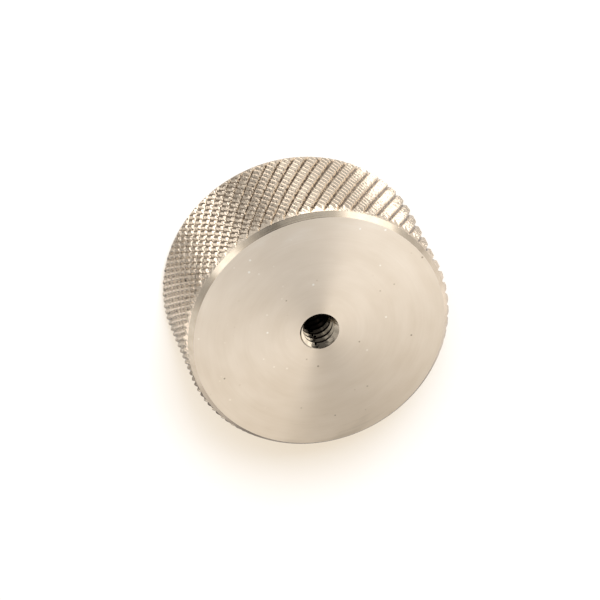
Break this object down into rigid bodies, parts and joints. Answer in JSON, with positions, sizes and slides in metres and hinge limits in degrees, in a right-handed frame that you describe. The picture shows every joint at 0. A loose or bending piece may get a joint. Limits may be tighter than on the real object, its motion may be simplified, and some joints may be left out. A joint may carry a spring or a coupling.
{
  "type": "knurled knob",
  "caption": "Round metal knob with a diamond-knurled rim, chamfered edges and a flat face with a blind tapped hole, turned by hand on a threaded stud.",
  "frame": {"origin": "centre of the plain back face, which the knob stands on", "axes": "+Z along the knob's axis, from the plain back towards the tapped front face"},
  "size_m": [0.0326, 0.0326, 0.0154],
  "materials": {
    "turned_metal": "turned and knurled bare steel, faced front with concentric tool marks"
  },
  "bodies": {
    "root": {"knob": "turned_metal"}
  },
  "joints": []
}
